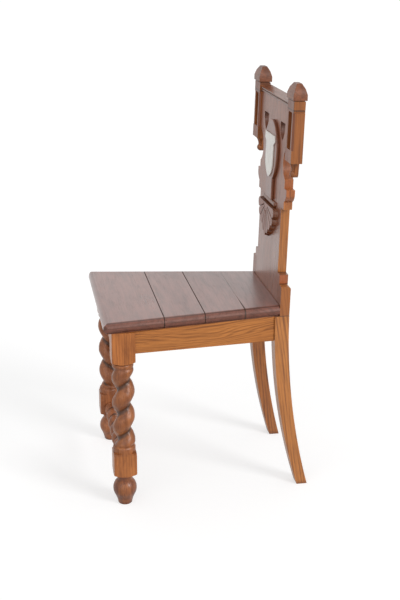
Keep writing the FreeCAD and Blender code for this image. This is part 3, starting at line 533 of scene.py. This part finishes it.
def make_oak(name, grain, pith, tones, spacing=0.006, wander=0.02, lines=0.5, fibre=0.4, clouds=0.3,
             tilt=(0, 0, 0), stains=(), waxes_and_shades=(), gloss=0.34, wax=0.0, shine=0.5, dull=None):
    """Oak cut along one axis, in a pale and a deep tone.

    Pith shifts the heart of the tree off the piece and tilt turns it. Spacing is a year's growth, wander how
    far the rings stray, and lines, fibre and clouds are the strengths of those parts of the figure. Stains
    lie under the lines of the grain, and old wax and painted shade over them: each is a function that
    gives its share from the piece's coordinates, and its colour. Dull is such a function for where the
    coat of wax has gone.
    """
    material, tree, shader, place = new_finish(name)
    along = add_node(tree, "ShaderNodeMapping", {"Vector": place, "Rotation": grain_turns[grain]}).outputs[0]
    turned = add_node(tree, "ShaderNodeMapping", {"Vector": along, "Location": pith, "Rotation": tilt})
    figure = add_node(tree, "ShaderNodeGroup", node_tree=grain_group)
    tree.links.new(turned.outputs[0], figure.inputs["Vector"])
    figure.inputs["Spacing"].default_value = spacing
    figure.inputs["Wander"].default_value = wander
    pores = figure.outputs["Pores"]
    pale, deep = (tone + (1,) for tone in tones)

    def shown(part, strength):
        """What shows of a part of the figure, up to a strength."""
        return ranged(tree, figure.outputs[part], *figure_shows[part], 0.0, strength)

    tone = blended(tree, shown("Drift", deep_drift), pale, deep)
    tone = blended(tree, shown("Rings", deep_rings), tone, deep)
    for stain, colour in stains:
        tone = blended(tree, stain(tree, place), tone, colour + (1,))
    row_tone = blended(tree, 1.0, tone, row_depth + (1,), "MULTIPLY")
    tone = blended(tree, shown("Clouds", clouds), tone, row_tone)
    tone = blended(tree, shown("Fibre", fibre), tone, row_tone)
    tone = blended(tree, product(tree, figure.outputs["Flecks"], fleck_strength), tone, pale)
    tone = blended(tree, product(tree, figure.outputs["Band"], lines), tone, row_tone)
    pore_tone = blended(tree, 1.0, tone, pore_depth + (1,), "MULTIPLY")
    tone = blended(tree, product(tree, pores, pore_strength), tone, pore_tone)
    # Old wax, and painted shade in corners, slots and piercings, over the grain.
    for wax_and_shade_share, colour in waxes_and_shades:
        tone = blended(tree, wax_and_shade_share(tree, place), tone, colour + (1,))
    # Inner corners painted darker, for old wax and for shade.
    corner = add_node(tree, "ShaderNodeAttribute", attribute_name="wax_and_shade").outputs["Fac"]
    tone = blended(tree, product(tree, corner, corner_wax_and_shade), tone, black_wax_and_shade + (1,))
    rubbed = add_node(tree, "ShaderNodeAttribute", attribute_name="worn").outputs["Fac"]
    patchy = ranged(tree, noise(tree, place, *rubbed_noise), *rubbed_patches)
    light = tuple(min(1.0, rubbed_gain * part) for part in tones[0]) + (1,)
    tone = blended(tree, product(tree, rubbed, patchy), tone, light)
    tree.links.new(tone, shader.inputs["Base Color"])

    rough = ranged(tree, figure.outputs["Drift"], *gloss_drift, gloss - smoother, gloss + rougher)
    rough = maths(tree, "ADD", rough, product(tree, pores, pore_roughness))
    bump = add_node(tree, "ShaderNodeBump", {"Height": pores} | pore_bump, invert=True)
    tree.links.new(bump.outputs[0], shader.inputs["Normal"])
    shader.inputs["Specular IOR Level"].default_value = shine
    if dull:
        rubbed_off = dull(tree, place)
        rough = maths(tree, "ADD", rough, product(tree, rubbed_off, dull_roughness))
        tree.links.new(ranged(tree, rubbed_off, 0.0, wax_gone, wax, 0.0), shader.inputs["Coat Weight"])
    else:
        shader.inputs["Coat Weight"].default_value = wax
    tree.links.new(rough, shader.inputs["Roughness"])
    shader.inputs["Coat Roughness"].default_value = gloss
    return material


def broad_face(tree, place):
    """The back's broad faces, which are darker than its sawn edges."""
    return ranged(tree, maths(tree, "ABSOLUTE", facing(tree)[1]), *broad_turn)


def sawn_edge(tree, place):
    """What isn't a broad face."""
    return maths(tree, "SUBTRACT", 1.0, broad_face(tree, place))


def groove_wax(tree, place):
    """Old wax that has gathered in the twist's groove."""
    hollow = add_node(tree, "ShaderNodeAttribute", attribute_name="hollow").outputs["Fac"]
    return ranged(tree, hollow, *groove_fill, smooth=True)


def turned_tone(tree, place):
    """The turned foot and twist of a front leg took more stain than its square blocks."""
    level = split(tree, place)[2]
    stain = maths(tree, "ADD", ranged(tree, level, *foot_stain), ranged(tree, level, *twist_stain))
    stain = product(tree, stain, ranged(tree, level, *top_block_stain))
    return product(tree, stain, ranged(tree, noise(tree, place, *stain_noise), *stain_patches))


def foot_darkening(tree, place):
    """The feet darker towards the floor, over their lowest centimetre."""
    return ranged(tree, split(tree, place)[2], *floor_darkening)


def seat_sides(tree):
    """The seat's two sides, and neither its front nor its top."""
    return ranged(tree, maths(tree, "ABSOLUTE", facing(tree)[0]), *side_turn)


def under_edge(tree, place):
    """The seat's moulded edge at its sides, darker and duller than the worn top."""
    return product(tree, ranged(tree, facing(tree)[2], *moulded_turn), seat_sides(tree))


def moulding_shade(tree, place):
    """Painted shade lines along the top, the nose and the foot of the seat's moulded sides."""
    level = split(tree, place)[2]
    lines = [near_line(tree, level, seat_top - under, *line) for under, *line in moulding_shade_lines]
    return product(tree, strongest(tree, *lines), seat_sides(tree))


def front_joint_wax(tree, place):
    """Old wax in the two front seat joints, which have opened from end to end."""
    across = split(tree, place)[1]
    return strongest(tree, *(near_line(tree, across, joint, *front_joint_line) for joint in front_joints))


def open_joint(tree, place):
    """The rear seat joint has opened a little at its left end and gathered wax."""
    parts = split(tree, place)
    off = maths(tree, "ABSOLUTE", maths(tree, "SUBTRACT", parts[1], rear_joint))
    width = ranged(tree, parts[0], *open_joint_width)
    return product(tree, maths(tree, "LESS_THAN", off, width), open_joint_strength)


def seat_dull(tree, place):
    """Where the seat's wax polish doesn't reach: its moulded sides and its open joints."""
    return strongest(tree, under_edge(tree, place), front_joint_wax(tree, place), open_joint(tree, place))


def stub_front(tree, place):
    """The stub's front, finished with the plank's broad faces."""
    above = maths(tree, "GREATER_THAN", split(tree, place)[2], stub_foot)
    return product(tree, above, broad_face(tree, place))


def stub_tone(tree, place):
    """The sides of the back leg's stub beside the plank, where the grain is turned and hardly shows."""
    return product(tree, ranged(tree, split(tree, place)[2], *stub_stain), sawn_edge(tree, place))


def stub_line(tree, place):
    """Wax in the joint under the stub."""
    return near_line(tree, split(tree, place)[2], stub_foot, *stub_foot_line)


def pierced_wall_shade(tree, place):
    """The walls of the plank's piercings, dark with painted shade, and of its round cut-outs, less so."""
    parts = split(tree, place)
    inside = maths(tree, "LESS_THAN", maths(tree, "ABSOLUTE", parts[0]), piercing_reach)
    piercings = maths(tree, "GREATER_THAN", parts[2], piercing_foot)
    cut_outs = product(tree, maths(tree, "GREATER_THAN", parts[2], cut_out_foot), cut_out_shade_share)
    high = strongest(tree, piercings, cut_outs)
    wall = ranged(tree, maths(tree, "ABSOLUTE", facing(tree)[1]), *wall_turn)
    return product(tree, product(tree, inside, high), wall)


def reddened_edges(tree, place):
    """The plank's edges above the back legs' stubs and above its neck, stained redder."""
    level = split(tree, place)[2]
    low = product(tree, maths(tree, "LESS_THAN", level, plank_foot_top), plank_foot_redness)
    high = ranged(tree, level, *neck_redness)
    return product(tree, strongest(tree, low, high), sawn_edge(tree, place))


def plank_foot_shade(tree, place):
    """Painted shade lines on the plank's edges, over the stubs and at the step above them."""
    level = split(tree, place)[2]
    lines = strongest(tree, near_line(tree, level, plank_foot_top, *plank_step_line),
                      near_line(tree, level, stub_top, *stub_top_line))
    return product(tree, lines, sawn_edge(tree, place))


def plank_dull(tree, place):
    """The plank from the leaf upwards, where hands and polish seldom reach."""
    return ranged(tree, split(tree, place)[2], *neck_dullness)


def scribed_line(tree, place):
    """Wax in the line scribed round a post under its cap, square to the leaning plank."""
    return near_line(tree, level_on_plank(tree, place), scribe_level, *scribed_wax)


def slot_shade(tree, place):
    """Painted shade in the posts' sunk slots and behind their chamfers, darker with depth behind the front.
    """
    deep = ranged(tree, split(tree, place)[1], *slot_shade_depth)
    return product(tree, deep, ranged(tree, facing(tree)[1], *slot_turn))


def cap_corner_shade(tree, place):
    """Painted shade in the corner between a post's inner side, its cap and the crest."""
    high = ranged(tree, level_on_plank(tree, place), *cap_shade_rise)
    across = maths(tree, "ABSOLUTE", split(tree, place)[0])
    return product(tree, high, ranged(tree, across, *cap_shade_across))


def carved_hollow(tree, place):
    """Wax in the leaf's veins, by their depth under its face."""
    return product(tree, ranged(tree, split(tree, place)[1], *vein_wax), broad_face(tree, place))


def make_paint():
    """Old cream paint on the shield, mottled and finely crazed."""
    material, tree, shader, place = new_finish("Shield paint")
    mottle = noise(tree, place, *paint_noise)
    tone = blended(tree, ranged(tree, mottle, *paint_ageing), fresh_cream, aged_cream)
    craze = noise(tree, place, *craze_noise)
    tone = blended(tree, ranged(tree, craze, *craze_lines), tone, craze_brown)
    tree.links.new(tone, shader.inputs["Base Color"])
    tree.links.new(ranged(tree, mottle, *paint_roughness), shader.inputs["Roughness"])
    return material


def make_steel():
    """Dull steel on the screws."""
    material, tree, shader, place = new_finish("Screw steel")
    mottle = noise(tree, place, *steel_noise)
    tree.links.new(blended(tree, mottle, clean_steel, dull_steel), shader.inputs["Base Color"])
    tree.links.new(ranged(tree, mottle, *steel_roughness), shader.inputs["Roughness"])
    shader.inputs["Metallic"].default_value = 1.0
    return material


def make_oaks():
    """The oak of each piece that shows, by its CAD node."""
    leg = {"spacing": 0.0045, "wander": 0.03, "lines": 0.25, "fibre": 0.36, "clouds": 0.65, "gloss": 0.36,
           "shine": 0.38, "waxes_and_shades": ((groove_wax, black_wax_and_shade), (foot_darkening, dark_wood))}
    rail = {"spacing": 0.0056, "wander": 0.07, "lines": 0.80, "fibre": 0.40, "clouds": 0.25, "gloss": 0.40,
            "shine": 0.4}
    sabre = {"spacing": 0.0064, "wander": 0.016, "lines": 1.0, "fibre": 0.28, "tilt": (0, 0, 0.145),
             "gloss": 0.36, "wax": 0.2, "stains": ((stub_front, walnut),),
             "waxes_and_shades": ((stub_tone, stub_brown), (stub_line, black_wax_and_shade), (foot_darkening, dark_wood))}
    post = {"spacing": 0.0065, "wander": 0.03, "lines": 0.5, "fibre": 0.5, "gloss": 0.38,
            "stains": ((broad_face, walnut),),
            "waxes_and_shades": ((slot_shade, dark_wood), (scribed_line, black_wax_and_shade), (cap_corner_shade, dark_wood))}
    broad = {"spacing": 0.0060, "wander": 0.045, "lines": 0.5, "fibre": 0.4, "gloss": 0.30}
    cap = {"lines": 0.3, "clouds": 0.8, "gloss": 0.38}
    board = {"spacing": 0.0105, "wander": 0.05, "lines": 0.45, "fibre": 0.30, "clouds": 0.50, "gloss": 0.30,
             "wax": 0.75, "dull": seat_dull, "stains": ((under_edge, edge_brown),)}
    board_waxes_and_shades = ((moulding_shade, black_wax_and_shade), (front_joint_wax, black_wax_and_shade))
    oaks = {
        "front_leg_left": make_oak("Left leg oak", "z", (0.0, 0.30, 0.12), honey,
                                   stains=((turned_tone, russet),), **leg),
        "front_leg_right": make_oak("Right leg oak", "z", (0.3, 0.12, -0.22), dusky, **leg),
        "front_stretcher": make_oak("Stretcher oak", "x", (0.1, 0.25, -0.06), dusky, **leg),
        "side_rail_left": make_oak("Left rail oak", "y", (0.1, 0.155, -0.50), amber,
                                   tilt=(0, 0.02, -rail_turn), **rail),
        "side_rail_right": make_oak("Right rail oak", "y", (0.4, -0.15, -0.50), amber,
                                    tilt=(0, 0, rail_turn), **rail),
        "back_leg_left": make_oak("Left back leg oak", "z", (0.0, -0.41, 0.26), bright, **sabre),
        "back_leg_right": make_oak("Right back leg oak", "z", (0.2, -0.41, -0.26), shaded, **sabre),
        "front_rail": make_oak("Front rail oak", "x", (0.0, 0.30, -0.50), amber, **rail),
        "back_rail": make_oak("Back rail oak", "x", (0.3, -0.10, -0.52), amber, **rail),
        "back_plank": make_oak("Plank oak", "z", (0.0, -0.08, 0.03), amber,
                               stains=((broad_face, walnut), (reddened_edges, foot_red)),
                               waxes_and_shades=((pierced_wall_shade, dark_wood), (plank_foot_shade, black_wax_and_shade)),
                               wax=0.3, dull=plank_dull, **broad),
        "crest_rail": make_oak("Crest oak", "x", (0.5, -0.22, -0.85), brown, wax=0.12, **broad),
        "post_left": make_oak("Left post oak", "z", (0.3, -0.12, 0.20), post_tones, **post),
        "post_right": make_oak("Right post oak", "z", (0.6, -0.24, -0.12), post_tones, **post),
        "post_cap_left": make_oak("Left cap oak", "x", (0.2, -0.15, -0.90), brown, **cap),
        "post_cap_right": make_oak("Right cap oak", "x", (0.5, -0.15, -0.90), umber, **cap),
        "post_drop_left": make_oak("Drop oak", "z", (0.4, -0.12, 0.05), post_tones),
        "cartouche": make_oak("Oval oak", "z", (0.7, -0.11, 0.01), brown,
                              stains=((broad_face, oval_walnut),), wax=0.3, **broad),
        "leaf_drop": make_oak("Carving oak", "z", (0.4, -0.12, 0.05), carved,
                              stains=((broad_face, leaf_walnut),),
                              waxes_and_shades=((carved_hollow, dark_wood),), shine=0.45, **broad),
        "seat_board_1": make_oak("Board oak 1", "x", (0.0, 0.17, -0.30), mauve, waxes_and_shades=board_waxes_and_shades, **board),
        "seat_board_2": make_oak("Board oak 2", "x", (0.4, 0.05, -0.52), mauve, waxes_and_shades=board_waxes_and_shades, **board),
        "seat_board_3": make_oak("Board oak 3", "x", (0.9, -0.06, -0.37), mauve,
                                 waxes_and_shades=board_waxes_and_shades + ((open_joint, black_wax_and_shade),), **board),
    }
    oaks["seat_board_4"] = oaks["seat_board_3"]
    oaks["roll_collar"] = oaks["crest_rail"]
    oaks["post_drop_right"] = oaks["post_drop_left"]
    return oaks


def worn_copy(node, name, width, drop=None, tight=None):
    """A CAD node's merged copy with its sharp edges rounded.

    The attribute worn marks the middle of the outer edges, and wax_and_shade that of the inner corners,
    which are painted darker for old wax and for shade. The faces that drop names are left out first and
    their holes closed. The edges that tight names stay sharp.
    """
    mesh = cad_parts[node].data.copy()
    mesh.name = name
    merged = bmesh.new()
    merged.from_mesh(mesh)
    bmesh.ops.remove_doubles(merged, verts=merged.verts, dist=merge_reach)
    if drop:
        gone = [face for face in merged.faces if drop(face.calc_center_median())]
        bmesh.ops.delete(merged, geom=gone, context="FACES")
        rims = [edge for edge in merged.edges if len(edge.link_faces) == 1]
        bmesh.ops.holes_fill(merged, edges=rims, sides=0)
    bmesh.ops.dissolve_limit(merged, angle_limit=math.radians(flat_degrees), verts=merged.verts,
                             edges=merged.edges)
    sharp = [edge for edge in merged.edges
             if len(edge.link_faces) == 2 and edge.calc_face_angle() > math.radians(sharp_degrees)]
    if tight:
        sharp = [edge for edge in sharp if not tight((edge.verts[0].co + edge.verts[1].co) / 2)]
    rounded = set()
    if width:
        made = bmesh.ops.bevel(merged, geom=sharp, offset=width, offset_type="OFFSET", segments=2,
                               profile=0.5, affect="EDGES", clamp_overlap=True)
        rounded = set(made["faces"])
    worn = merged.verts.layers.float.new("worn")
    wax_and_shade = merged.verts.layers.float.new("wax_and_shade")
    middles = {vert for vert in merged.verts if rounded and all(face in rounded for face in vert.link_faces)}
    for edge in merged.edges:
        if middles.issuperset(edge.verts):
            mark = worn if edge.is_convex else wax_and_shade
            for vert in edge.verts:
                vert[mark] = 1.0
    for face in merged.faces:
        face.smooth = True
    crease = math.radians(crease_degrees)
    for edge in merged.edges:
        edge.smooth = len(edge.link_faces) == 2 and edge.calc_face_angle() < crease
    merged.to_mesh(mesh)
    merged.free()
    mesh.materials.clear()
    return mesh


def place_piece(mesh, name, node, even=True):
    """The piece that stands for a CAD node, with its flat faces shaded flat up to their worn edges."""
    piece = bpy.data.objects.new(name, mesh)
    bpy.context.scene.collection.objects.link(piece)
    if even:
        shading = piece.modifiers.new("Flat faces", "WEIGHTED_NORMAL")
        shading.keep_sharp = True
    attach(piece, "root")
    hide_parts(node)


def on_rear_joint(place):
    """The rear seat joint is tight, so its edges stay sharp."""
    return abs(place.y - rear_joint) < rear_joint_reach and place.z > under_seat


def on_leg_twist(place):
    """The solid's own spiral on a front leg, which a grown one stands for."""
    return leg_twist_low + twist_sink < place.z < leg_twist_low + leg_twist["Length"] - twist_sink


def on_stretcher_twist(place):
    """The solid's own spiral on the stretcher."""
    return abs(place.x) < stretcher_twist["Length"] / 2 - twist_sink


def add_worn_pieces(oaks):
    """The pieces that are CAD shapes with worn edges, and the painted shield."""
    for node, width in worn_widths.items():
        mesh = worn_copy(node, node + "_worn", width, tight=on_rear_joint)
        mesh.materials.append(oaks[node])
        place_piece(mesh, node + "_worn", node)
    shield = worn_copy("shield", "shield_worn", shield_worn_width)
    shield.materials.append(make_paint())
    place_piece(shield, "shield_worn", "shield")


def add_spirals(oaks):
    """The front legs and the stretcher: their blocks and ends from CAD, and their spirals grown."""
    tree = make_spiral_tree()
    for node, hand in (("front_leg_left", 1.0), ("front_leg_right", -1.0)):
        blocks = worn_copy(node, node + "_blocks", leg_worn_width, drop=on_leg_twist)
        middle = (hand * leg_across, leg_along, leg_twist_low + leg_twist["Length"] / 2)
        values = leg_twist | {"Hand": hand, "Tool Marks": leg_tool_marks, "Place": middle,
                              "Finish": oaks[node]}
        place_piece(grown_mesh(tree, blocks, values), node + "_turned", node)
    ends = worn_copy("front_stretcher", "front_stretcher_ends", stretcher_worn_width,
                     drop=on_stretcher_twist)
    values = stretcher_twist | {"Hand": 1.0, "Tool Marks": stretcher_tool_marks,
                                "Place": (0.0, leg_along, stretcher_level), "Turn": (0.0, math.pi / 2, 0.0),
                                "Finish": oaks["front_stretcher"]}
    place_piece(grown_mesh(tree, ends, values), "front_stretcher_turned", "front_stretcher")


def rail_middle(y):
    """Middle of the left side rail at y."""
    return rail_front_middle - rail_run_in * (y - rail_front) / rail_run


def add_cleat_screws():
    """The screws driven up through the cleats into the seat, and sideways into the side rails."""
    screws = []
    up = (0, 0, 1)
    for y in seat_screw_rows:
        across = rail_middle(y) - rail_half - cleat_size / 2
        screws += [((across, y, cleat_foot), up), ((-across, y, cleat_foot), up)]
    screws += [((x, front_screw_row, cleat_foot), up) for x in front_screws]
    for y in rail_screw_rows:
        across = rail_middle(y) - rail_half - cleat_size
        level = cleat_foot + cleat_size / 2
        screws += [((across, y, level), (1, 0, 0)), ((-across, y, level), (-1, 0, 0))]
    mesh = bpy.data.meshes.new("Screw places")
    mesh.from_pydata([place for place, way in screws], [], [])
    drive = mesh.attributes.new("drive", "FLOAT_VECTOR", "POINT")
    drive.data.foreach_set("vector", [part for place, way in screws for part in way])
    whole = grown_mesh(make_screw_tree(), mesh, screw | {"Finish": make_steel()})
    place_piece(whole, "cleat_screws_slotted", "cleat_screws", even=False)


def looked_at(tree):
    """1 for what the camera, a reflection or glass shows, and 0 for light that falls on the chair."""
    path = add_node(tree, "ShaderNodeLightPath").outputs
    return strongest(tree, path["Is Camera Ray"], path["Is Glossy Ray"], path["Is Transmission Ray"])


def add_floor():
    """White paper on the floor."""
    mesh = bpy.data.meshes.new("Floor")
    corners = [(-floor_reach, -floor_reach, 0), (floor_reach, -floor_reach, 0),
               (floor_reach, floor_reach, 0), (-floor_reach, floor_reach, 0)]
    mesh.from_pydata(corners, [], [(0, 1, 2, 3)])
    floor = bpy.data.objects.new("Floor", mesh)
    bpy.context.scene.collection.objects.link(floor)
    paper = bpy.data.materials.new("White paper")
    paper.use_nodes = True
    tree = paper.node_tree
    tree.nodes.clear()
    matt = add_node(tree, "ShaderNodeBsdfDiffuse", {"Color": (floor_tone, floor_tone, floor_tone, 1)})
    glow = add_node(tree, "ShaderNodeEmission", {"Strength": product(tree, looked_at(tree), floor_glow)})
    both = add_node(tree, "ShaderNodeAddShader", {0: matt.outputs[0], 1: glow.outputs[0]}).outputs[0]
    add_node(tree, "ShaderNodeOutputMaterial", {"Surface": both})
    mesh.materials.append(paper)


def add_light():
    """White surroundings, a key lamp low behind the left and a fill lamp."""
    world = bpy.data.worlds.new("Studio")
    bpy.context.scene.world = world
    world.use_nodes = True
    tree = world.node_tree
    tree.nodes.clear()
    strength = ranged(tree, looked_at(tree), 0.0, 1.0, sky_light, 1.0)
    sky = add_node(tree, "ShaderNodeBackground", {"Color": (1, 1, 1, 1), "Strength": strength}).outputs[0]
    add_node(tree, "ShaderNodeOutputWorld", {"Surface": sky})
    for name, energy, spread_degrees, way in lamps:
        lamp = bpy.data.lights.new(name, "SUN")
        lamp.energy = energy
        lamp.angle = math.radians(spread_degrees)
        lamp_place = bpy.data.objects.new(name, lamp)
        lamp_place.matrix_world = Vector(way).to_track_quat("Z", "Y").to_matrix().to_4x4()
        bpy.context.scene.collection.objects.link(lamp_place)


def add_camera():
    """The camera at the photograph's viewing angle."""
    camera = bpy.data.cameras.new("Camera")
    camera.sensor_fit = "VERTICAL"
    camera.sensor_height = camera_sensor
    camera.lens = camera_lens
    eye = bpy.data.objects.new("Camera", camera)
    turn = Matrix.Rotation(math.radians(camera_turn_degrees), 4, "Z")
    tilt = Matrix.Rotation(math.radians(camera_tilt_degrees), 4, "X")
    roll = Matrix.Rotation(math.radians(camera_roll_degrees), 4, "Z")
    eye.matrix_world = Matrix.Translation(camera_place) @ turn @ tilt @ roll
    bpy.context.scene.collection.objects.link(eye)
    bpy.context.scene.camera = eye
    bpy.context.scene.view_settings.view_transform = "Standard"


grain_group = make_grain_group()
oaks = make_oaks()
add_worn_pieces(oaks)
add_spirals(oaks)
plain_oak = make_oak("Plain oak", "x", (0.1, 0.4, -0.5), unstained, gloss=0.55)
for node in hidden_pieces:
    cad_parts[node].data.materials[0] = plain_oak
add_cleat_screws()

add_floor()
add_light()
add_camera()
